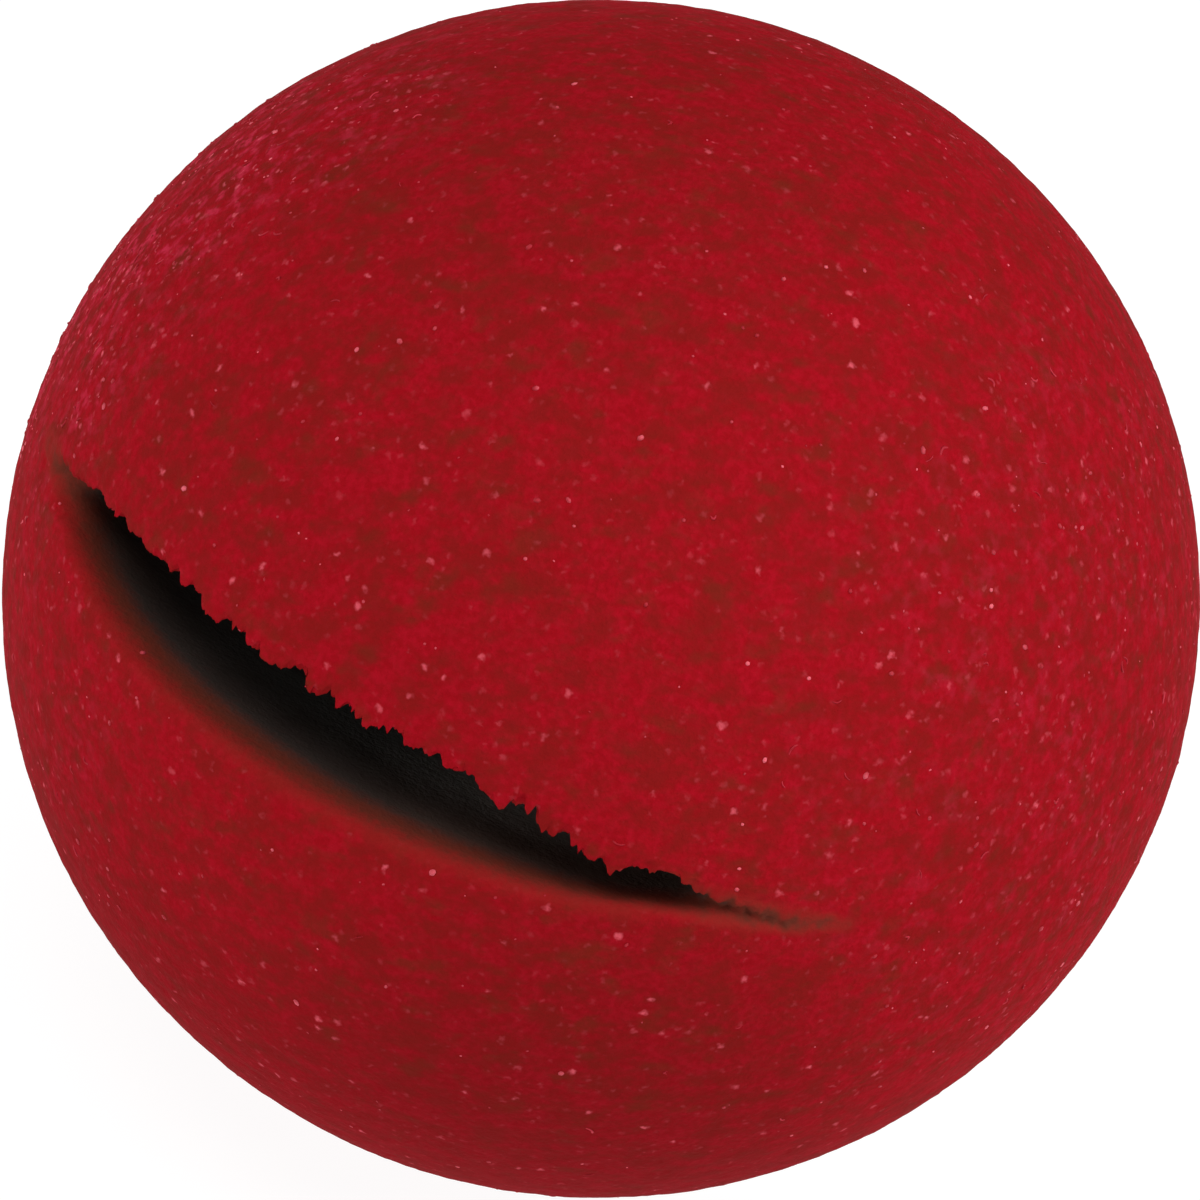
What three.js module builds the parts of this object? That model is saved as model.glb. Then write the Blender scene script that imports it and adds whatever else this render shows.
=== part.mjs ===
// Foam clown nose: a soft sponge ball, moulded in one piece, with one slit that opens to grip the nose.
// Millimetres, +Z up. The origin is the middle of the foot, the small flat where the ball rests,
// and the mouth of the slit faces -Y.
import * as THREE from "three";
import { mergeVertices } from "three/addons/utils/BufferGeometryUtils.js";

// Driving sizes
const ballDiameter = 50;
const footWidth = 6; // the flat that the ball's own weight presses on a table
const slitHeight = 1.5; // of the slit's plane over the ball's middle
const slitDepth = 25; // from the middle of the mouth to the closed end
const mouthAngle = 107; // degrees of the ball's round, from corner to corner
const upperGape = 2.5; // most that the upper lip stands over the slit's plane
const lowerGape = 2.4; // most that the lower lip hangs under it
const lipRollIn = 2.1; // how far in the rounded lower lip reaches its crest
const lipRollUp = 0.5; // how far it rises to that crest
const closedGap = 0.8; // height of the slit at its closed end

// How finely the round forms are divided
const backSteps = 46;
const mouthSteps = 32;
const arcSteps = 13;
const lipRollSteps = 4;
const wallSteps = 8;

// The mouth from corner to corner: places as shares of its half angle, lips as shares of the two gapes.
const lips = [
  { across: -1.0, upper: 0.0, lower: 0.0 },
  { across: -0.85, upper: 0.46, lower: 0.42 },
  { across: -0.7, upper: 0.8, lower: 0.85 },
  { across: -0.4, upper: 0.93, lower: 1.0 },
  { across: 0.0, upper: 1.0, lower: 0.97 },
  { across: 0.25, upper: 0.88, lower: 0.78 },
  { across: 0.45, upper: 0.54, lower: 0.64 },
  { across: 0.65, upper: 0.4, lower: 0.36 },
  { across: 0.85, upper: 0.26, lower: 0.12 },
  { across: 1.0, upper: 0.0, lower: 0.0 },
];

// The walls of the slit, from lip to closed end: places as shares of the way in, and how much of the
// height between those two is left there.
const walls = [
  { along: 0.0, open: 1.0 },
  { along: 0.2, open: 1.13 },
  { along: 0.45, open: 1.12 },
  { along: 0.78, open: 0.68 },
  { along: 1.0, open: 0.0 },
];

const radius = ballDiameter / 2;
const middleHeight = Math.sqrt(radius ** 2 - (footWidth / 2) ** 2);
const slitRadius = Math.sqrt(radius ** 2 - slitHeight ** 2); // of the ball, in the slit's plane
const cornerTurn = THREE.MathUtils.degToRad(mouthAngle / 2);
const cornerX = slitRadius * Math.sin(cornerTurn);
const cornerY = -slitRadius * Math.cos(cornerTurn);
const closedEndY = slitDepth - slitRadius;

// A smooth curve through two columns of a table.
function smoothColumn(rows, place, value) {
  const places = rows.map((row) => row[place]);
  const values = rows.map((row) => row[value]);
  const curve = new THREE.CubicInterpolant(places, values, 1);
  return (at) => curve.evaluate(at)[0];
}

const upperShare = smoothColumn(lips, "across", "upper");
const lowerShare = smoothColumn(lips, "across", "lower");
const openShare = smoothColumn(walls, "along", "open");

// The ball's surface on one meridian, from one height over its middle up to another.
function ballArc(turn, low, high) {
  const arc = new THREE.ArcCurve(0, middleHeight, radius, Math.asin(low / radius), Math.asin(high / radius));
  return arc.getPoints(arcSteps).map((point) => {
    return new THREE.Vector3(point.x * Math.sin(turn), -point.x * Math.cos(turn), point.y);
  });
}

// The rounded edge of the lower lip, from the ball's surface to its crest inside the slit.
function lipRoll(lip, end, share) {
  const depth = lip.distanceTo(end);
  const rollIn = Math.min(lipRollIn * share, depth / 2);
  const edge = new THREE.EllipseCurve(rollIn, 0, rollIn, lipRollUp * share, Math.PI, Math.PI / 2, true);
  return edge.getPoints(lipRollSteps).map((point) => {
    return lip.clone().lerp(end, point.x / depth).setZ(lip.z + point.y);
  });
}

// A wall of the slit between its lip and its closed end, without those two points.
function slitWall(lip, end) {
  const points = [];
  for (let i = 1; i < wallSteps; i++) {
    const along = i / wallSteps;
    const height = THREE.MathUtils.lerp(end.z, lip.z, openShare(along));
    points.push(lip.clone().lerp(end, along).setZ(height));
  }
  return points;
}

// One upright half section of the ball, from the middle of its foot to its top. Within the mouth it
// runs in along the lower wall of the slit, up the closed end and back out along the upper wall.
function mouthSection(across) {
  const upper = upperShare(across);
  const lower = lowerShare(across);
  const turn = across * cornerTurn;
  const below = ballArc(turn, -middleHeight, slitHeight - lower * lowerGape);
  const above = ballArc(turn, slitHeight + upper * upperGape, radius);

  const endTurn = (across * Math.PI) / 2;
  const endX = cornerX * Math.sin(endTurn);
  const endY = cornerY + (closedEndY - cornerY) * Math.cos(endTurn);
  const slitLevel = middleHeight + slitHeight;
  const lowerEnd = new THREE.Vector3(endX, endY, slitLevel - (lower * closedGap) / 2);
  const upperEnd = new THREE.Vector3(endX, endY, slitLevel + (upper * closedGap) / 2);

  const roll = lipRoll(below.pop(), lowerEnd, lower);
  const lowerWall = slitWall(roll.at(-1), lowerEnd);
  const upperWall = slitWall(above[0], upperEnd).reverse();
  const slit = [...roll, ...lowerWall, lowerEnd, upperEnd, ...upperWall];
  return [new THREE.Vector3(), ...below, ...slit, ...above];
}

// The same half section where there is no mouth: all of the slit is one point of the ball's surface.
function closedSection(turn) {
  const below = ballArc(turn, -middleHeight, slitHeight);
  const above = ballArc(turn, slitHeight, radius);
  const slit = Array(lipRollSteps + 2 * wallSteps + 1).fill(below.pop());
  return [new THREE.Vector3(), ...below, ...slit, ...above];
}

// A closed body lofted through sections that stand all round the upright axis.
function loft(sections) {
  const size = sections[0].length;
  const corners = [];
  sections.forEach((_, i) => {
    const here = i * size;
    const next = ((i + 1) % sections.length) * size;
    for (let j = 0; j + 1 < size; j++) {
      corners.push(here + j, next + j, next + j + 1, here + j, next + j + 1, here + j + 1);
    }
  });
  const grid = new THREE.BufferGeometry().setFromPoints(sections.flat());
  grid.setIndex(corners);
  const merged = mergeVertices(grid);
  const index = [];
  for (let i = 0; i < corners.length; i += 3) {
    const [a, b, c] = merged.index.array.slice(i, i + 3);
    if (a !== b && b !== c && c !== a) index.push(a, b, c);
  }
  merged.setIndex(index);
  const faceted = merged.toNonIndexed();
  faceted.computeVertexNormals();
  return faceted;
}

const sections = [closedSection(-cornerTurn)];
for (let i = 1; i < mouthSteps; i++) sections.push(mouthSection((2 * i) / mouthSteps - 1));
for (let i = 0; i < backSteps; i++) {
  const turn = cornerTurn + (i / backSteps) * 2 * (Math.PI - cornerTurn);
  sections.push(closedSection(turn));
}

const foam = new THREE.MeshStandardMaterial({ color: 0x97191f, roughness: 0.95, metalness: 0 });
const foamBall = new THREE.Mesh(loft(sections), foam);
foamBall.name = "foam_ball";

const clownNose = new THREE.Group();
clownNose.add(foamBall);

export default clownNose;
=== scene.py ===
import math

import bmesh
import bpy
from mathutils import Matrix, Vector, noise


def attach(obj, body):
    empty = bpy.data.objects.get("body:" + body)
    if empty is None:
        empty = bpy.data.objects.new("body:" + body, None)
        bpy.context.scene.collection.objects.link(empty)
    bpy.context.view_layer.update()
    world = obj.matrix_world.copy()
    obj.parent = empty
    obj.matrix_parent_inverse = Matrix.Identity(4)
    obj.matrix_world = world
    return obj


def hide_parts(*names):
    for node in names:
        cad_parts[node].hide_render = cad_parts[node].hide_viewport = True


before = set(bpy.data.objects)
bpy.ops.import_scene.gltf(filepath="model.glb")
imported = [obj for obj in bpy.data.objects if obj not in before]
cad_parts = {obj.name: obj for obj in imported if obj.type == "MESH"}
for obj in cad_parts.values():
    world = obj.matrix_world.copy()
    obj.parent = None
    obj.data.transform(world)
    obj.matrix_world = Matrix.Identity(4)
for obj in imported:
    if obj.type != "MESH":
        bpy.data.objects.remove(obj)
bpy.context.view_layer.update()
scene = bpy.context.scene
scene.view_settings.view_transform = "Standard"

mm = 0.001


def screenColour(r, g, b):  # a colour as it looks on a screen, 0 to 255, made linear
    def linear(x):
        x /= 255
        return x / 12.92 if x <= 0.04045 else ((x + 0.055) / 1.055) ** 2.4
    return (linear(r), linear(g), linear(b), 1.0)


# Node trees: sums on wires add Math nodes, and every other node comes from Board.node
class Wire:
    def __init__(self, board, socket):
        self.board = board
        self.socket = socket

    def maths(self, operation, first, second):
        return self.board.node("ShaderNodeMath", {"operation": operation}, {0: first, 1: second})

    def __add__(self, other):
        return self.maths("ADD", self, other)

    def __sub__(self, other):
        return self.maths("SUBTRACT", self, other)

    def __rsub__(self, other):
        return self.maths("SUBTRACT", other, self)

    def __mul__(self, other):
        return self.maths("MULTIPLY", self, other)

    def __gt__(self, other):
        return self.maths("GREATER_THAN", self, other)

    def __lt__(self, other):
        return self.maths("LESS_THAN", self, other)

    __radd__ = __add__
    __rmul__ = __mul__


class Board:
    def __init__(self, tree):
        self.tree = tree

    def node(self, kind, settings=None, values=None, out=0):
        made = self.tree.nodes.new(kind)
        for name, value in (settings or {}).items():
            setattr(made, name, value)
        for key, value in (values or {}).items():
            if isinstance(value, Wire):
                self.tree.links.new(value.socket, made.inputs[key])
            else:
                made.inputs[key].default_value = value
        return Wire(self, made.outputs[out]) if len(made.outputs) else None

    def blend(self, factor, first, second, way="MIX"):  # between two colours
        settings = {"data_type": "RGBA", "blend_type": way}
        return self.node("ShaderNodeMix", settings, {0: factor, 6: first, 7: second}, 2)

    def ease(self, value, low, high):  # 0 below low, 1 above high, smooth between
        spread = {"Value": value, "From Min": low, "From Max": high}
        return self.node("ShaderNodeMapRange", {"interpolation_type": "SMOOTHSTEP"}, spread)

    def scaled(self, vector, factor):
        return self.node("ShaderNodeVectorMath", {"operation": "SCALE"}, {0: vector, "Scale": factor})

    def moved(self, vector, by):
        return self.node("ShaderNodeVectorMath", {"operation": "ADD"}, {0: vector, 1: by})

    def length(self, vector):
        return self.node("ShaderNodeVectorMath", {"operation": "LENGTH"}, {0: vector}, "Value")

    def cloud(self, vector, scale, detail=2.0, roughness=0.5):  # noise about 0.5
        values = {"Vector": vector, "Scale": scale, "Detail": detail, "Roughness": roughness}
        return self.node("ShaderNodeTexNoise", {}, values)

    def shaken(self, vector, scale, far):  # each place moved a little, for uneven spots
        loose = Wire(self, self.cloud(vector, scale).socket.node.outputs["Color"])
        return self.moved(vector, self.scaled(self.moved(loose, (-0.5, -0.5, -0.5)), far))

    def dot(self, vector, by):
        return self.node("ShaderNodeVectorMath", {"operation": "DOT_PRODUCT"}, {0: vector, 1: by}, "Value")

    def cells(self, vector, scale):  # how far the nearest spot is, and that spot's own chance number
        near = self.node("ShaderNodeTexVoronoi", {}, {"Vector": vector, "Scale": scale})
        return near, self.dot(Wire(self, near.socket.node.outputs["Color"]), (1, 0, 0))


def growTree(name, sizes):  # a Geometry Nodes tree with a named input for each size
    tree = bpy.data.node_groups.new(name, "GeometryNodeTree")
    tree.interface.new_socket("Geometry", in_out="OUTPUT", socket_type="NodeSocketGeometry")
    tree.interface.new_socket("Geometry", in_out="INPUT", socket_type="NodeSocketGeometry")
    for key, value in sizes.items():
        kind = "NodeSocketInt" if isinstance(value, int) else "NodeSocketFloat"
        tree.interface.new_socket(key, in_out="INPUT", socket_type=kind)
    tree.interface.new_socket("Material", in_out="INPUT", socket_type="NodeSocketMaterial")
    board = Board(tree)
    taken = board.node("NodeGroupInput").socket.node
    wires = {socket.name: Wire(board, socket) for socket in taken.outputs if socket.name}
    return board, wires


def endTree(board, wires, geometry):
    whole = board.node("GeometryNodeRealizeInstances", {}, {"Geometry": geometry})
    finished = board.node("GeometryNodeSetMaterial", {}, {"Geometry": whole, "Material": wires["Material"]})
    board.node("NodeGroupOutput", {}, {"Geometry": finished})
    return board.tree


def grow(name, mesh, tree, sizes, material):  # the tree's result as a plain mesh in a new object
    maker = bpy.data.objects.new(name + "Maker", mesh)
    scene.collection.objects.link(maker)
    modifier = maker.modifiers.new("tree", "NODES")
    modifier.node_group = tree
    given = dict(sizes, Material=material)
    for item in tree.interface.items_tree:
        if item.in_out == "INPUT" and item.name in given:
            modifier[item.identifier] = given[item.name]
    graph = bpy.context.evaluated_depsgraph_get()
    plain = bpy.data.meshes.new_from_object(maker.evaluated_get(graph), depsgraph=graph)
    bpy.data.objects.remove(maker)
    return addPiece(name, plain, material)


def addPiece(name, mesh, material):
    piece = bpy.data.objects.new(name, mesh)
    scene.collection.objects.link(piece)
    mesh.name = name
    mesh.materials.clear()
    mesh.materials.append(material)
    for face in mesh.polygons:
        face.use_smooth = True
    print(f"{name}: {sum(len(face.vertices) - 2 for face in mesh.polygons)} triangles")
    return piece


# The ball and its slit: lengths in metres
foamBall = {
    "diameter": 50 * mm,
    "footWidth": 6 * mm,
    "slitHeight": 1.5 * mm,  # of the slit's plane over the ball's middle
    "slitDepth": 25 * mm,
    "mouthAngle": 107,  # degrees of the ball's round
    "upperGape": 2.5 * mm,
    "lowerGape": 2.4 * mm,
    "lipRollIn": 2.1 * mm,
    "lipRollUp": 0.5 * mm,
    "closedGap": 0.8 * mm,
    "pressedNarrow": (0.5, 0.85),  # shares of the way to the narrow corner: the lips close inside
    "pressedWide": (0.6, 0.93),  # the same towards the wide corner
    "pressedDepth": 0.75 * mm,  # how deep the groove is where the lips touch
    "mouthSteps": 170,
    "backSteps": 210,
    "faceSize": 0.39 * mm,
    "tornBand": 0.9 * mm,  # how far from its edge the upper lip is torn
    "fineBands": (1.3, 0.9),  # shares of that band where the faces are halved, and halved again
    "toothHeight": 0.48 * mm,
    "toothStep": 0.42 * mm,
    "toothWaves": [  # scale, weight, shift
        (0.35, 0.8, 3.7), (0.8, 0.85, 8.1), (1.7, 0.55, 1.3), (3.4, 0.32, 5.9),
    ],
    "toothVariety": 0.6,
    "varietyScale": 0.13,
    "calmSide": 0.45,  # how much lower the teeth are at the wide corner
    "calmFrom": (20, 40),  # degrees round, towards that corner
    "lipSag": 0.22 * mm,  # how far the torn edge hangs under the solid's
    "shadeDepth": 0.48,  # painted shade beside the slit, as millimetres of seeming depth for the colour bands
    "shadeBelow": (-0.1 * mm, 1.3 * mm),  # from the lower lip down, where that fades
    "shadeAbove": (-0.5 * mm, 0.35 * mm),  # from the upper lip up
    "creaseGrain": 0.6,  # millimetres, the grain of the painted crease shade
}
lips = [  # place across the mouth, upper lip, lower lip, a little finer than the solid's
    (-1.0, 0.0, 0.0), (-0.9, 0.24, 0.1), (-0.8, 0.58, 0.32), (-0.65, 0.83, 0.66), (-0.5, 0.9, 0.9),
    (-0.35, 0.94, 1.0), (0.0, 1.0, 0.97),
    (0.25, 0.88, 0.78), (0.45, 0.54, 0.6), (0.65, 0.31, 0.22), (0.75, 0.24, 0.13), (0.85, 0.17, 0.08),
    (1.0, 0.0, 0.0),
]
tears = [  # degrees round from the middle of the mouth, half width in degrees, millimetres up
    (-32.5, 3.0, -0.32), (-3.0, 0.7, 0.35), (9.0, 0.6, 0.2), (18.6, 0.9, 0.15), (25.2, 1.3, -0.32),
    (27.8, 1.0, -0.7), (29.8, 0.8, 0.2), (31.3, 1.3, 0.34), (33.4, 1.2, 0.32), (35.3, 1.0, 0.25),
    (37.6, 0.7, 0.2),
]
creaseShade = [  # painted shade in creases past the slit's ends: degrees round, height over the middle, half width and look of depth, in millimetres
    (-58.0, 1.4, 0.6, 0.0), (-54.0, 1.55, 0.65, 0.7), (-50.0, 1.7, 0.8, 1.1), (-46.0, 1.7, 0.9, 1.2),
    (-41.0, 1.6, 0.8, 0.6), (-34.0, 1.7, 0.6, 0.0), (22.0, 1.7, 0.5, 0.0), (28.0, 1.5, 0.75, 0.8),
    (34.0, 1.75, 0.9, 1.3), (40.0, 1.82, 0.85, 1.45), (45.0, 1.76, 0.7, 1.55), (50.0, 1.82, 0.5, 1.25),
    (54.5, 1.85, 0.35, 0.0),
]
walls = [(0.0, 1.0), (0.2, 1.13), (0.45, 1.12), (0.78, 0.68), (1.0, 0.0)]  # way in, height left

radius = foamBall["diameter"] / 2
middle = Vector((0, 0, math.sqrt(radius ** 2 - (foamBall["footWidth"] / 2) ** 2)))
slitRadius = math.sqrt(radius ** 2 - foamBall["slitHeight"] ** 2)
cornerTurn = math.radians(foamBall["mouthAngle"] / 2)


def smoothRow(rows, column, at):  # a smooth curve through one column of a table
    last = len(rows) - 1
    i = max(k for k in range(last) if rows[k][0] <= at or k == 0)
    (x0, y0), (x1, y1) = ((rows[k][0], rows[k][column]) for k in (i, i + 1))

    def slope(k):
        low, high = rows[max(k - 1, 0)], rows[min(k + 1, last)]
        return (high[column] - low[column]) / (high[0] - low[0])

    t = (at - x0) / (x1 - x0)
    hold = (x1 - x0) * t * (1 - t)
    rise = t * t * (3 - 2 * t)
    return y0 + (y1 - y0) * rise + hold * (slope(i) * (1 - t) - slope(i + 1) * t)


def ease(x, low, high):
    t = max(0.0, min(1.0, (x - low) / (high - low)))
    return t * t * (3 - 2 * t)


def onBall(turn, height, out=None):
    out = math.sqrt(radius ** 2 - height ** 2) if out is None else out
    return Vector((out * math.sin(turn), -out * math.cos(turn), middle.z + height))


def ballArc(turn, low, high, steps=60):
    start, end = (math.asin(max(-1.0, min(1.0, h / radius))) for h in (low, high))
    angles = [start + (end - start) * i / steps for i in range(steps + 1)]
    return [onBall(turn, radius * math.sin(a), radius * math.cos(a)) for a in angles]


def upperLip(turn):  # the torn edge's place, before it is torn
    share = smoothRow(lips, 1, max(-1.0, min(1.0, turn / cornerTurn)))
    return onBall(turn, foamBall["slitHeight"] + share * foamBall["upperGape"]), share


def toothed(turn, inward, share):  # how far up the torn lip is bitten here
    b = foamBall
    along = turn * radius / b["toothStep"]
    deep = inward / b["toothStep"]
    whole = 0.0
    for scale, weight, shift in b["toothWaves"]:
        whole += weight * noise.noise(Vector((along * scale, deep * scale, shift)))
    degrees = math.degrees(turn)
    rough = 1 + b["toothVariety"] * noise.noise(Vector((along * b["varietyScale"], 6.6, 2.1)))
    rough *= 1 - b["calmSide"] * ease(-degrees, *b["calmFrom"])
    height = b["toothHeight"] * rough * math.tanh(1.5 * whole) - b["lipSag"]
    for centre, half, lift in tears:
        height += lift * mm * math.exp(-((degrees - centre) / half) ** 2)
    return height * min(1.0, 2.5 * share)  # less near the corners


def paintedSlitShade(turn, height):  # painted shade round the slit and in the creases past its ends, as millimetres of seeming depth
    b = foamBall
    across = turn / cornerTurn
    shade = 0.0
    if abs(across) < 1:
        upper, lower = smoothRow(lips, 1, across), smoothRow(lips, 2, across)
        below = b["slitHeight"] - lower * b["lowerGape"] - height
        above = height - b["slitHeight"] - upper * b["upperGape"]
        shade = b["shadeDepth"] * (1 - ease(below, *b["shadeBelow"]))
        shade *= (1 - ease(above, *b["shadeAbove"])) * min(1.0, 3 * lower)
    degrees = math.degrees(turn)
    if creaseShade[0][0] < degrees < creaseShade[-1][0]:
        centre, half, depth = (smoothRow(creaseShade, column, degrees) for column in (1, 2, 3))
        grain = b["creaseGrain"]
        depth *= 1 + 0.5 * noise.noise(Vector((turn * radius / mm / grain, height / mm / grain, 4.2)))
        shade = max(shade, depth * math.exp(-((height / mm - centre) / half) ** 2))
    return shade


def slitRow(across, rollSteps=8, wallSteps=36):  # the section's points inside the slit
    b = foamBall
    upper, lower = smoothRow(lips, 1, across), smoothRow(lips, 2, across)
    turn, endTurn = across * cornerTurn, across * math.pi / 2
    cornerY = -slitRadius * math.cos(cornerTurn)
    endX = slitRadius * math.sin(cornerTurn) * math.sin(endTurn)
    endY = cornerY + (b["slitDepth"] - slitRadius - cornerY) * math.cos(endTurn)
    level = middle.z + b["slitHeight"]
    pressed = max(ease(across, *b["pressedNarrow"]), ease(-across, *b["pressedWide"]))
    openGap = b["closedGap"] * (1 - ease(pressed, 0.0, 0.3))
    lowerEnd = Vector((endX, endY, level - lower * openGap / 2))
    upperEnd = Vector((endX, endY, level + upper * openGap / 2))
    lowerLip = onBall(turn, b["slitHeight"] - lower * b["lowerGape"])
    upperEdge = onBall(turn, b["slitHeight"] + upper * b["upperGape"])

    def wall(lip, end):
        points = []
        for i in range(1, wallSteps):
            point = lip.lerp(end, i / wallSteps)
            deep = pressed * (end - lip).length * i / wallSteps / b["pressedDepth"]
            left = smoothRow(walls, 1, i / wallSteps) * math.exp(-deep * deep)
            point.z = end.z + (lip.z - end.z) * left
            points.append(point)
        return points

    depth = (lowerEnd - lowerLip).length
    rollIn = min(b["lipRollIn"] * lower, depth / 2)
    roll = []
    for i in range(rollSteps + 1):
        angle = i / rollSteps * math.pi / 2
        point = lowerLip.lerp(lowerEnd, rollIn * (1 - math.cos(angle)) / depth)
        point.z = lowerLip.z + b["lipRollUp"] * lower * math.sin(angle)
        roll.append(point)
    inside = roll + wall(roll[-1], lowerEnd) + [lowerEnd, upperEnd] + wall(upperEdge, upperEnd)[::-1]
    return inside, lowerLip.z - middle.z, upperEdge.z - middle.z


def slitBall():  # the closed ball, lofted through upright half sections all round it
    b = foamBall
    mouthSteps, backSteps = b["mouthSteps"], b["backSteps"]
    rows = []
    inner = len(slitRow(0.0)[0])
    for i in range(mouthSteps + backSteps):
        if 0 < i < mouthSteps:
            across = 2 * i / mouthSteps - 1
            turn = across * cornerTurn
            inside, lowHeight, highHeight = slitRow(across)
        else:
            turn = cornerTurn + max(0, i - mouthSteps) / backSteps * 2 * (math.pi - cornerTurn)
            turn = -cornerTurn if i == 0 else turn
            lowHeight = highHeight = b["slitHeight"]
            inside = [onBall(turn, b["slitHeight"])] * inner
        below = ballArc(turn, -middle.z, lowHeight)
        above = ballArc(turn, highHeight, radius)
        rows.append([Vector()] + below[:-1] + inside + above)
    size = len(rows[0])
    corners = [point for row in rows for point in row]
    faces = []
    for i in range(len(rows)):
        here, beside = i * size, (i + 1) % len(rows) * size
        for j in range(size - 1):
            faces.append((here + j, beside + j, beside + j + 1, here + j + 1))
    mesh = bpy.data.meshes.new("slitBall")
    mesh.from_pydata(corners, [], faces)
    work = bmesh.new()
    work.from_mesh(mesh)
    bmesh.ops.remove_doubles(work, verts=work.verts, dist=0.0005 * mm)
    bmesh.ops.recalc_face_normals(work, faces=work.faces)
    work.to_mesh(mesh)
    work.free()
    return mesh


def remeshed(mesh):  # the same form in even small faces
    maker = bpy.data.objects.new("remeshMaker", mesh)
    scene.collection.objects.link(maker)
    even = maker.modifiers.new("even", "REMESH")
    even.mode = "VOXEL"
    even.voxel_size = foamBall["faceSize"]
    graph = bpy.context.evaluated_depsgraph_get()
    plain = bpy.data.meshes.new_from_object(maker.evaluated_get(graph), depsgraph=graph)
    bpy.data.objects.remove(maker)
    return plain


def keepLargest(work):  # the remesh can leave small closed pockets where the lips touch
    parts, seen = [], set()
    for start in work.verts:
        if start in seen:
            continue
        part, queue = [], [start]
        seen.add(start)
        while queue:
            corner = queue.pop()
            part.append(corner)
            for edge in corner.link_edges:
                other = edge.other_vert(corner)
                if other not in seen:
                    seen.add(other)
                    queue.append(other)
        parts.append(part)
    parts.sort(key=len)
    print("pockets left out:", len(parts) - 1)
    bmesh.ops.delete(work, geom=[corner for part in parts[:-1] for corner in part], context="VERTS")


def tear(mesh):  # finer faces along the upper lip, and its torn teeth
    b = foamBall

    def near(point):
        turn = math.atan2(point.x, -point.y)
        if abs(turn) >= cornerTurn:
            return turn, 0.0, math.inf
        edge, share = upperLip(turn)
        return turn, share, (point - edge).length / b["tornBand"]

    work = bmesh.new()
    work.from_mesh(mesh)
    keepLargest(work)
    for reach in b["fineBands"]:
        faces = [face for face in work.faces if near(face.calc_center_median())[2] < reach]
        edges = {edge for face in faces for edge in face.edges}
        bmesh.ops.subdivide_edges(work, edges=list(edges), cuts=1, use_grid_fill=True)
    # painted shade round the slit, stored on the corners for the foam's colour
    shade = work.verts.layers.float.new("paintedSlitShade")
    for corner in work.verts:
        turn, share, away = near(corner.co)
        inward = radius - (corner.co - middle).length
        if corner.co.y < 0 and inward < 3 * mm:
            corner[shade] = paintedSlitShade(turn, corner.co.z - middle.z)
        if away < 1:
            corner.co.z += toothed(turn, inward, share) * (1 - away * away) ** 2
    bmesh.ops.triangulate(work, faces=[face for face in work.faces if len(face.verts) > 4])
    work.to_mesh(mesh)
    work.free()


# The look of the foam: colours as on a screen, scales as features to a millimetre, and spans as the
# lowest and highest value between which a feature comes in
foamLook = {
    "crimson": screenColour(150, 11, 22),
    "bright": screenColour(164, 14, 30),
    "brick": screenColour(130, 22, 21),
    "olive": screenColour(104, 37, 22),
    "bottomShade": screenColour(124, 15, 21),
    "dull": (0.8, 1.15, 0.88, 1.0),  # a tint of painted shade
    # painted glints off shiny cell facets
    "glintSpeck": screenColour(226, 92, 106),
    # painted sheen
    "sheenHaze": screenColour(188, 39, 64),
    # painted shade of the lips and the slit's inside, red to brown to grey in place of the red foam
    "lipRedShade": screenColour(140, 32, 29),
    "lipBrownShade": screenColour(100, 44, 33),
    "slitShadeGrey": screenColour(62, 54, 50),
    "slitShadeDeep": screenColour(84, 86, 82),
    "endShadeGrey": screenColour(78, 64, 57),  # the same two towards the slit's ends, painted paler there to lift the deeper shade of the narrow ends
    "endShadeDeep": screenColour(136, 132, 126),
    "grainScale": 3.2, "grainSpan": (0.35, 0.7),
    "mottleScale": 0.95, "mottleSpan": (0.36, 0.68), "mottleShare": 0.9,
    "oliveScale": 0.85, "oliveSpan": (0.53, 0.75), "oliveShare": 0.5,
    "hazeScale": 1.5, "hazeSpan": (0.45, 0.72),
    "speckScale": 1.1, "speckSize": (0.02, 0.25), "speckChance": (0.66, 1.08), "speckShare": 0.9,
    "smallSpeckScale": 2.1, "smallSpeckSize": (0.0, 0.4), "smallSpeckChance": (0.5, 1.0),
    "patchScale": 0.32, "patchSpan": (0.4, 0.62),
    "undersideHeights": (4.0, 22.0), "undersideShare": 0.6,  # millimetres over the floor, where the painted shade on the underside fades out
    "grainAlong": (0.828, 0.449, 0.336),  # the way that the mottles are drawn out, and by how much
    "grainStretch": 1.5,
    "roughness": 0.92,
    "bumpDistance": 0.12 * mm,
}
slitShadeBands = [  # painted shade going into the slit: a colour, and the depths in millimetres where it starts and where it is whole
    ("lipRedShade", 0.25, 1.0), ("lipBrownShade", 0.7, 1.9), ("slitShadeGrey", 1.75, 3.25), ("slitShadeDeep", 3.2, 7.0),
]
sheenAndFuzzSides = [  # where painted sheen and more flecks and strands go: a way out from the middle, how wide, how much
    ((-0.86, -0.5, 0.13), 0.95, 0.8),
    ((-0.6, -0.78, -0.2), 0.93, 0.3),
    ((-0.88, -0.38, 0.28), 0.88, 1.0),
    ((-0.793, -0.23, 0.559), 0.86, 0.9),
    ((0.92, -0.03, 0.39), 0.62, 0.45),
]
# painted shade on the top and the lower front right: a way out from the middle, how wide, how much
shadedSides = [((-0.2, -0.33, 0.92), 0.82, 0.55), ((0.53, -0.76, -0.39), 0.84, 0.75)]


def facing(board, position, sides):  # 0 to 1, from a place in metres
    fromMiddle = board.moved(position, tuple(-middle))
    outward = board.node("ShaderNodeVectorMath", {"operation": "NORMALIZE"}, {0: fromMiddle})
    zone = 0.0
    for side, wide, weight in sides:
        zone = board.ease(board.dot(outward, side), wide, 1.0) * weight + zone
    return zone


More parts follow.
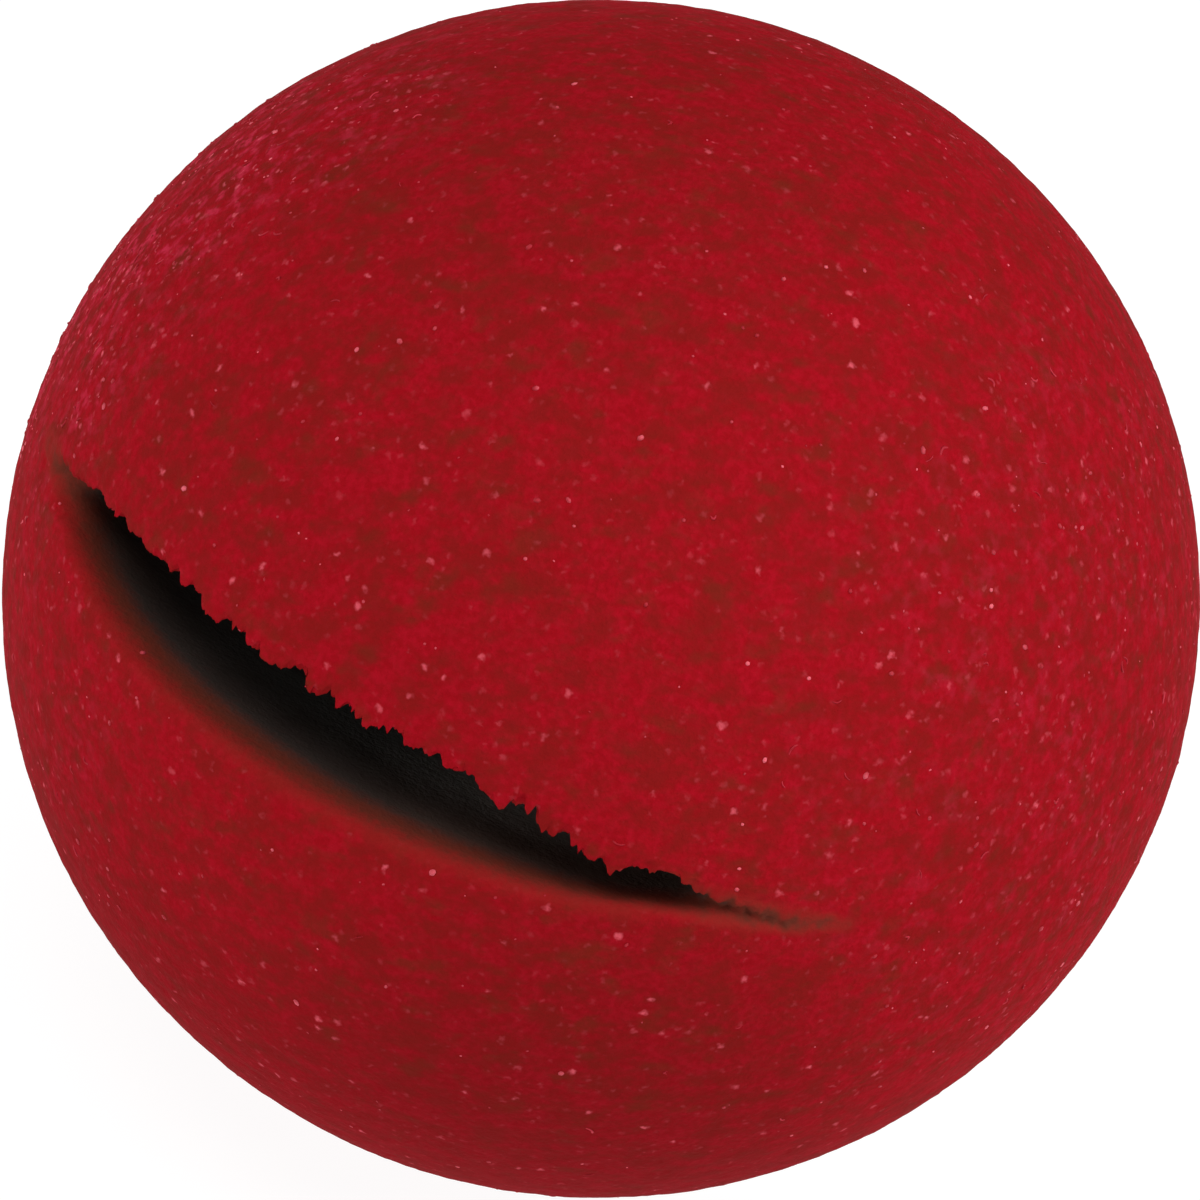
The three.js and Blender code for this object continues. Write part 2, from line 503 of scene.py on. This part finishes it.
def sheenAndFuzzZone(board, position):  # the sides with painted sheen and more fuzz, in patches
    patch = board.cloud(board.scaled(position, 1000.0), foamLook["patchScale"], 1.5)
    return facing(board, position, sheenAndFuzzSides) * (board.ease(patch, *foamLook["patchSpan"]) * 0.75 + 0.25)


def foamSkinMaterial():
    look = foamLook
    material = bpy.data.materials.new("redFoam")
    material.use_nodes = True
    material.node_tree.nodes.clear()
    board = Board(material.node_tree)
    position = board.node("ShaderNodeTexCoord", out="Object")
    spot = board.scaled(position, 1000)  # in millimetres
    inward = radius / mm - board.length(board.moved(spot, tuple(-middle / mm)))
    zone = sheenAndFuzzZone(board, position)

    # Mottles, drawn out along the grain; the shifts keep the clouds apart
    pull = board.dot(spot, look["grainAlong"]) * (1 / look["grainStretch"] - 1)
    drawn = board.moved(spot, board.scaled(look["grainAlong"], pull))
    grain = board.cloud(board.moved(spot, (3, 17, 5)), look["grainScale"], 2.0, 0.6)
    mottle = board.cloud(drawn, look["mottleScale"], 3.5, 0.6)
    olive = board.cloud(board.moved(drawn, (31, 7, 19)), look["oliveScale"], 2.5)
    colour = board.blend(board.ease(grain, *look["grainSpan"]), look["crimson"], look["bright"])
    colour = board.blend(board.ease(mottle, *look["mottleSpan"]) * look["mottleShare"], colour, look["brick"])
    colour = board.blend(board.ease(olive, *look["oliveSpan"]) * look["oliveShare"], colour, look["olive"])
    # Painted shade: duller, darker red on those two sides
    colour = board.blend(facing(board, position, shadedSides), colour, look["dull"], "MULTIPLY")
    # Painted shade: darker red towards the floor
    height = board.node("ShaderNodeSeparateXYZ", {}, {0: spot}, "Z")
    low = (1 - board.ease(height, *look["undersideHeights"])) * look["undersideShare"]
    colour = board.blend(low, colour, look["bottomShade"])

    # Painted sheen (haze) and painted glints (specks), more of them on the sheen sides
    sheenHaze = board.cloud(board.moved(spot, (9, 2, 41)), look["hazeScale"], 2.5, 0.6)
    colour = board.blend(board.ease(sheenHaze, *look["hazeSpan"]) * (zone * 0.7 + 0.03), colour, look["sheenHaze"])
    # Painted glints: pale specks of light off cell facets
    uneven = board.shaken(spot, 3.0, 0.5)
    near, lot = board.cells(uneven, look["speckScale"])
    glintSpeck = (1 - board.ease(near, *look["speckSize"])) * board.ease(lot, *look["speckChance"])
    near, lot = board.cells(uneven, look["smallSpeckScale"])
    small = (1 - board.ease(near, *look["smallSpeckSize"])) * board.ease(lot, *look["smallSpeckChance"])
    small = small * (zone * 0.7 + 0.17)
    colour = board.blend(glintSpeck * look["speckShare"] + small, colour, look["glintSpeck"])

    # Painted shade on the lips and inside the slit, darker by how deep a place is or looks
    # painted shade round the slit, read back as seeming depth
    shade = board.node("ShaderNodeAttribute", {"attribute_name": "paintedSlitShade"}, out=2)
    deep = inward + shade
    deep = deep + (grain - 0.5) * board.ease(deep, 0.3, 1.0) * 0.9
    # Paler painted shade towards both ends of the slit, a painted lift where the narrow ends lie in deeper
    # shade
    across = board.node("ShaderNodeSeparateXYZ", {}, {0: spot}, "X")
    atEnds = board.ease(across, -3.0, 9.0) + (1 - board.ease(across, -17.0, -11.0))
    tones = dict(
        look,
        slitShadeGrey=board.blend(atEnds, look["slitShadeGrey"], look["endShadeGrey"]),
        slitShadeDeep=board.blend(atEnds, look["slitShadeDeep"], look["endShadeDeep"]),
    )
    for tone, start, whole in slitShadeBands:
        colour = board.blend(board.ease(deep, start, whole), colour, tones[tone])

    fine = board.cloud(spot, 6.5, 2.0, 0.6)
    bumps = fine * 0.5 + grain * 0.8
    bump = board.node("ShaderNodeBump", {}, {
        "Strength": 0.6, "Distance": look["bumpDistance"], "Height": bumps,
    })
    shader = board.node("ShaderNodeBsdfPrincipled", {}, {
        "Base Color": colour,
        "Roughness": look["roughness"],
        "Normal": bump,
        "Specular IOR Level": 0.03,
    })
    board.node("ShaderNodeOutputMaterial", {}, {"Surface": shader})
    return material


# Low relief of the foam's skin: lumps, cells and pores
foamRelief = {
    "lumpScale": 0.16, "lumpHeight": 0.10 * mm,
    "cellScale": 0.95, "cellHeight": 0.14 * mm,
    "poreScale": 1.25, "poreDepth": 0.06 * mm,
}


def reliefTree():
    board, wires = growTree("foamRelief", foamRelief)
    position = board.node("GeometryNodeInputPosition")
    spot = board.scaled(position, 1000.0)
    lump = board.cloud(spot, wires["lumpScale"], 1.0) - 0.5
    cell = board.cloud(board.moved(spot, (5.0, 11.0, 3.0)), wires["cellScale"], 2.5, 0.6) - 0.5
    pore = 1 - board.ease(board.cells(spot, wires["poreScale"])[0], 0.08, 0.42)
    lift = lump * wires["lumpHeight"] + cell * wires["cellHeight"] - pore * wires["poreDepth"]
    height = board.node("ShaderNodeSeparateXYZ", {}, {0: position}, "Z")
    lift = lift * board.ease(height, 0.1 * mm, 1.2 * mm)  # the foot stays flat
    normal = board.node("GeometryNodeInputNormal")
    moved = board.node("GeometryNodeSetPosition", {}, {
        "Geometry": wires["Geometry"], "Offset": board.scaled(normal, lift),
    })
    return endTree(board, wires, moved)


print("stage: the foam ball")
foamMaterial = foamSkinMaterial()
ballMesh = slitBall()
evenMesh = remeshed(ballMesh)
tear(evenMesh)
foamSkin = grow("foamSkin", evenMesh, reliefTree(), foamRelief, foamMaterial)
bpy.data.meshes.remove(ballMesh)
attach(foamSkin, "root")
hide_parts("foam_ball")

# What stands proud of the skin: flecks of cell wall, their pale pink a painted glint, and bent strands of
# cell wall
foamFlecks = {
    "perSquareMillimetre": 0.09, "fuzzyMore": 6.0,
    "smallest": 0.05 * mm, "largest": 0.15 * mm, "seed": 11,
}
foamStrands = {
    "perSquareMillimetre": 0.008, "fuzzyMore": 26.0,
    "length": 0.42 * mm, "bend": 0.1 * mm, "thickness": 0.09 * mm, "seed": 23,
}
innerDepth = 0.45 * mm  # nothing is scattered deeper than this, or lower than footHeight
footHeight = 1.2 * mm
perSquareMetre = 1e6  # of what is counted to a square millimetre


def chance(board, low, high, seed, extra, vector=False):  # a random number or vector for each point
    kind = {"data_type": "FLOAT_VECTOR" if vector else "FLOAT"}
    values = {0: low, 1: high} if vector else {2: low, 3: high}
    made = board.node("FunctionNodeRandomValue", kind, values, 0 if vector else 1)
    board.tree.links.new((seed + extra).socket, made.socket.node.inputs["Seed"])
    return made


def scatter(board, wires):  # points all over the outside, more on the sides with the painted sheen
    position = board.node("GeometryNodeInputPosition")
    depth = radius - board.length(board.moved(position, tuple(-middle)))
    height = board.node("ShaderNodeSeparateXYZ", {}, {0: position}, "Z")
    outside = (depth < innerDepth) * (height > footHeight)
    density = wires["perSquareMillimetre"] * (sheenAndFuzzZone(board, position) * wires["fuzzyMore"] + 1) * outside
    points = board.node("GeometryNodeDistributePointsOnFaces", {}, {
        "Mesh": wires["Geometry"], "Density": density * perSquareMetre, "Seed": wires["seed"],
    })
    return points, Wire(board, points.socket.node.outputs["Rotation"])


def spun(board, rotation, seed):  # lying on the skin, turned at random
    spin = chance(board, (0, 0, 0), (0, 0, 6.28), seed, 9, vector=True)
    return board.node("FunctionNodeRotateRotation", {"rotation_space": "LOCAL"}, {
        "Rotation": rotation, "Rotate By": board.node("FunctionNodeEulerToRotation", {}, {0: spin}),
    })


def flecksTree():
    board, wires = growTree("foamFlecks", foamFlecks)
    points, rotation = scatter(board, wires)
    size = chance(board, 0.0, 1.0, wires["seed"], 1)
    size = size * size * size * (wires["largest"] - wires["smallest"]) + wires["smallest"]
    fleck = board.node("GeometryNodeMeshIcoSphere", {}, {"Radius": 1.0, "Subdivisions": 1})
    stretch = chance(board, (0.7, 0.7, 0.3), (1.5, 1.1, 0.5), wires["seed"], 2, vector=True)
    placed = board.node("GeometryNodeInstanceOnPoints", {}, {
        "Points": points, "Instance": fleck, "Rotation": spun(board, rotation, wires["seed"]),
        "Scale": board.scaled(stretch, size),
    })
    return endTree(board, wires, placed)


def strandsTree():
    board, wires = growTree("foamStrands", foamStrands)
    points, rotation = scatter(board, wires)
    half, lift = wires["length"] * 0.5, wires["thickness"] * 0.3

    def point(x, y, z):
        return board.node("ShaderNodeCombineXYZ", {}, {0: x, 1: y, 2: z})

    # A low bow with both ends in the skin
    bow = board.node("GeometryNodeCurveQuadraticBezier", {}, {
        "Resolution": 4,
        "Start": point(half * -1, 0.0, lift * -1),
        "Middle": point(half * 0.2, wires["bend"] * 2, lift * 3),
        "End": point(half, 0.0, lift * -1),
    })
    profile = board.node("GeometryNodeCurvePrimitiveCircle", {"mode": "RADIUS"}, {
        "Resolution": 4, "Radius": wires["thickness"] * 0.5,
    })
    strand = board.node("GeometryNodeCurveToMesh", {}, {
        "Curve": bow, "Profile Curve": profile, "Fill Caps": True,
    })
    placed = board.node("GeometryNodeInstanceOnPoints", {}, {
        "Points": points, "Instance": strand, "Rotation": spun(board, rotation, wires["seed"]),
        "Scale": chance(board, (0.4, 0.3, 0.5), (1.25, 1.4, 1.0), wires["seed"], 2, vector=True),
    })
    return endTree(board, wires, placed)


def paleMaterial(name, faint, bright, scale):  # flecks or strands, each in its own tone
    material = bpy.data.materials.new(name)
    material.use_nodes = True
    material.node_tree.nodes.clear()
    board = Board(material.node_tree)
    spot = board.scaled(board.node("ShaderNodeTexCoord", out="Object"), 1000)
    tone = board.ease(board.cloud(spot, scale, 1.0), 0.4, 0.7)
    shader = board.node("ShaderNodeBsdfPrincipled", {}, {
        "Base Color": board.blend(tone, faint, bright), "Roughness": 0.7, "Specular IOR Level": 0.2,
    })
    board.node("ShaderNodeOutputMaterial", {}, {"Surface": shader})
    return material


print("stage: flecks and strands")
# the flecks' pale pink is painted glint off thin cell walls
fleckTones = {"faint": screenColour(168, 34, 46), "bright": screenColour(230, 98, 112), "scale": 0.9}
strandTones = {"faint": screenColour(160, 22, 36), "bright": screenColour(194, 50, 66), "scale": 0.7}
fleckMaterial = paleMaterial("glintFlecks", **fleckTones)
strandMaterial = paleMaterial("paleStrands", **strandTones)
extras = [
    grow("foamFlecks", foamSkin.data, flecksTree(), foamFlecks, fleckMaterial),
    grow("foamStrands", foamSkin.data, strandsTree(), foamStrands, strandMaterial),
]
for extra in extras:
    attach(extra, "root")

# The photograph's view: angles in degrees, seen from the ball's middle
view = {
    "azimuth": 17.2,
    "elevation": 28.7,
    "roll": 22.5,
    "distance": 450 * mm,
    "frameWidth": 1200,  # pixels
    "outlineWidth": 1198.6,  # of the ball, in the same pixels
    "ballRight": 0.84,  # of the frame's middle
    "ballUp": 1.40,
    "sensor": 36.0,
}

print("stage: camera, floor and lights")
azimuth, elevation, roll = (math.radians(view[key]) for key in ("azimuth", "elevation", "roll"))
toCamera = Vector((
    math.sin(azimuth) * math.cos(elevation), -math.cos(azimuth) * math.cos(elevation), math.sin(elevation),
))
level = Vector((math.cos(azimuth), math.sin(azimuth), 0))
upright = toCamera.cross(level)
right = level * math.cos(roll) + upright * math.sin(roll)
up = upright * math.cos(roll) - level * math.sin(roll)

camera = bpy.data.objects.new("photoCamera", bpy.data.cameras.new("photoCamera"))
scene.collection.objects.link(camera)
turned = Matrix((right, up, toCamera)).transposed().to_4x4()
turned.translation = middle + toCamera * view["distance"]
camera.matrix_world = turned
halfAngle = math.asin(radius / view["distance"])
focalPixels = view["outlineWidth"] / 2 / math.tan(halfAngle)
camera.data.sensor_width = view["sensor"]
camera.data.lens = view["sensor"] * focalPixels / view["frameWidth"]
camera.data.shift_x = -view["ballRight"] / view["frameWidth"]
camera.data.shift_y = -view["ballUp"] / view["frameWidth"]
camera.data.clip_start = 0.01
camera.data.clip_end = 20
scene.camera = camera


studio = {
    "floorWhite": 0.1,
    "floorGlow": 0.945,
    "floorSize": 6.0,  # metres
    "floorDrop": 0.02 * mm,  # under the foot
    "horizon": 0.75,
    "zenith": 0.2,
    "zenithFrom": 0.3,  # the direction's height where the sky is at its darkest
}
lights = [  # shares right, up and to the camera; distance and size in metres; watts
    ("keyLight", (0.9, 0.3, 0.45), 0.7, 0.5, 3.2),
    ("fillLight", (-0.1, 0.6, 0.8), 0.9, 0.5, 4.0),
    ("rimLight", (-0.9, 0.3, -0.1), 0.7, 0.4, 2.0),
]


def floorMaterial():
    material = bpy.data.materials.new("paleFloor")
    material.use_nodes = True
    material.node_tree.nodes.clear()
    board = Board(material.node_tree)
    spot = board.node("ShaderNodeTexCoord", out="Object")
    grain = board.cloud(spot, 60.0, 1.0)
    dark, light = studio["floorWhite"], studio["floorWhite"] * 1.04
    colour = board.blend(grain, (dark, dark, dark, 1), (light, light, light, 1))
    shader = board.node("ShaderNodeBsdfPrincipled", {}, {
        "Base Color": colour, "Roughness": 0.8,
        "Emission Color": (1, 1, 1, 1), "Emission Strength": studio["floorGlow"],
    })
    board.node("ShaderNodeOutputMaterial", {}, {"Surface": shader})
    return material


floorMesh = bpy.data.meshes.new("paleFloor")
half = studio["floorSize"] / 2
floorCorners = [(-half, -half, 0), (half, -half, 0), (half, half, 0), (-half, half, 0)]
floorMesh.from_pydata(floorCorners, [], [(0, 1, 2, 3)])
floor = addPiece("paleFloor", floorMesh, floorMaterial())
floorMesh.transform(Matrix.Translation((0, 0, -studio["floorDrop"])))

world = bpy.data.worlds.new("studio")
scene.world = world
world.use_nodes = True
world.node_tree.nodes.clear()
board = Board(world.node_tree)
direction = board.node("ShaderNodeTexCoord", out="Generated")
height = board.node("ShaderNodeSeparateXYZ", {}, {0: direction}, "Z")
low, high = studio["horizon"], studio["zenith"]
skyColour = board.blend(
    board.ease(height, 0.0, studio["zenithFrom"]), (low, low, low, 1), (high, high, high, 1)
)
sky = board.node("ShaderNodeBackground", {}, {"Color": skyColour})
board.node("ShaderNodeOutputWorld", {}, {"Surface": sky})


def softLight(name, direction, distance, size, watts):
    light = bpy.data.objects.new(name, bpy.data.lights.new(name, "AREA"))
    light.data.shape = "DISK"
    light.data.size = size
    light.data.energy = watts
    light.location = middle + direction.normalized() * distance
    light.rotation_mode = "QUATERNION"
    light.rotation_quaternion = direction.to_track_quat("Z", "Y")
    scene.collection.objects.link(light)


for name, (toRight, toUp, toFront), distance, size, watts in lights:
    direction = right * toRight + up * toUp + toCamera * toFront
    softLight(name, direction, distance, size, watts)
